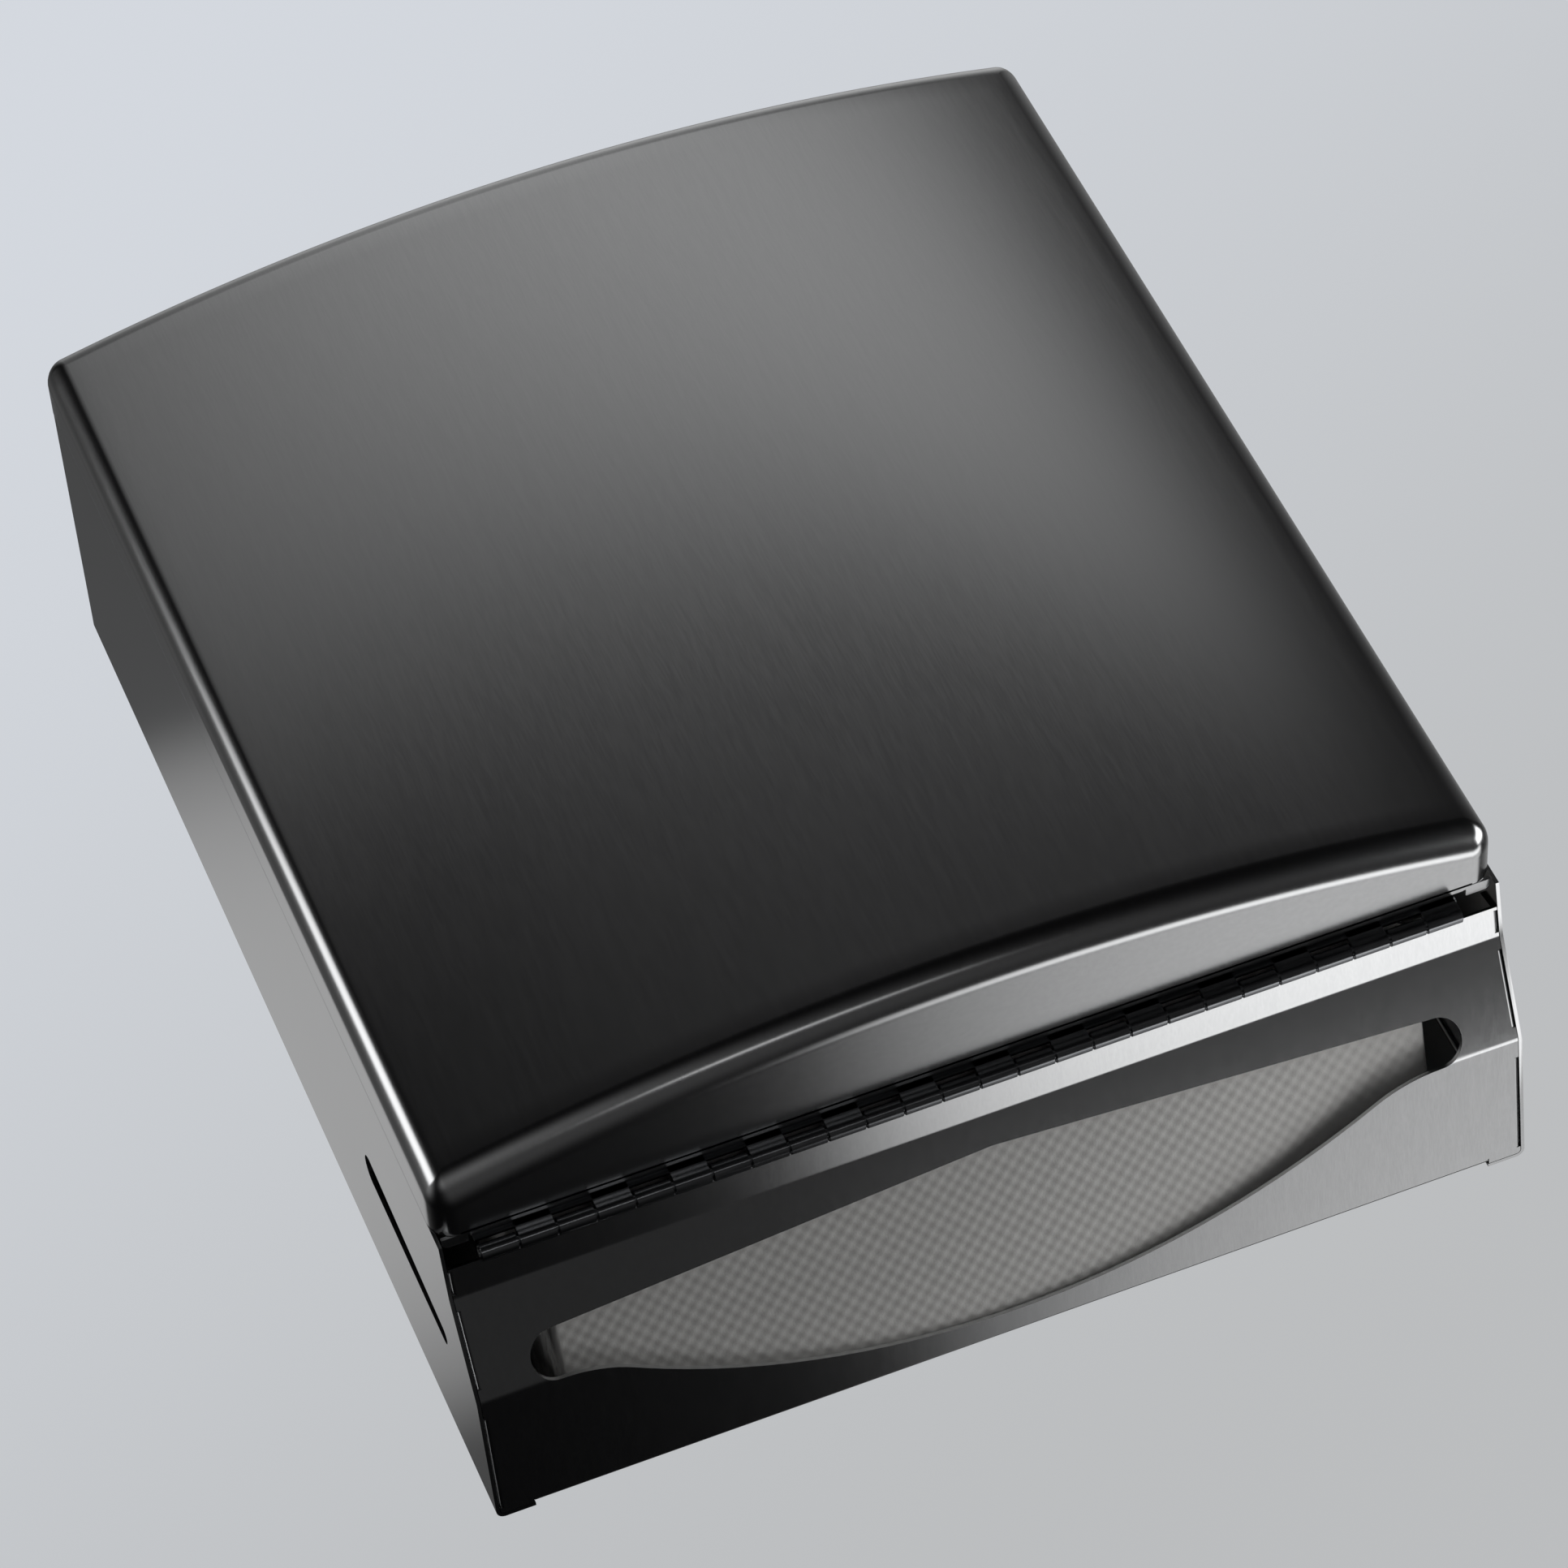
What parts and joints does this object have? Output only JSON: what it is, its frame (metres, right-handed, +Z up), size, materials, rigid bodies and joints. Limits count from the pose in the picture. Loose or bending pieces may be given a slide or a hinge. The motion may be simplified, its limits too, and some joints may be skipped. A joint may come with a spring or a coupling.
{
  "type": "paper towel dispenser",
  "caption": "Surface mounted folded towel dispenser in satin steel with a bowed front door on a piano hinge and a wavy slot underneath.",
  "frame": {"origin": "middle of the four wall holes, on the wall plane at the back of the cabinet", "axes": "+X to the right seen from the front, +Y back into the wall, +Z up; the front of the door faces -Y"},
  "size_m": [0.3, 0.1264, 0.3572],
  "materials": {
    "satin_steel": "satin stainless sheet, grain upright",
    "hinge_steel": "darker polished stainless hinge strip",
    "plated_steel": "bright zinc plated steel",
    "lock_chrome": "bright plated lock body",
    "lock_brass": "dull brass",
    "paper": "embossed folded paper towel, matte"
  },
  "bodies": {
    "cabinet": {"cabinet_shell": "satin_steel", "top_panel": "satin_steel", "bottom_tray": "satin_steel", "hinge_cabinet_leaf": "hinge_steel", "hinge_pin": "hinge_steel", "keeper_bracket": "plated_steel", "keeper_rivets": "plated_steel", "towel_stack": "paper"},
    "door": {"door_pan": "satin_steel", "hinge_door_leaf": "hinge_steel", "lock_housing": "lock_chrome", "lock_nut": "lock_chrome"},
    "lock": {"lock_plug": "lock_brass", "lock_wafers": "lock_brass", "lock_cam": "plated_steel", "cam_washer": "plated_steel", "cam_screw": "plated_steel"}
  },
  "joints": [
    {"name": "door_hinge", "type": "hinge", "parent": "cabinet", "child": "door", "pos_m": [0, -0.08612, -0.15958], "axis": [1, 0, 0], "range_deg": [0, 150]},
    {"name": "lock_turn", "type": "hinge", "parent": "door", "child": "lock", "pos_m": [0, -0.107, 0.16], "axis": [0, 0, 1], "range_deg": [-90, 0]}
  ]
}
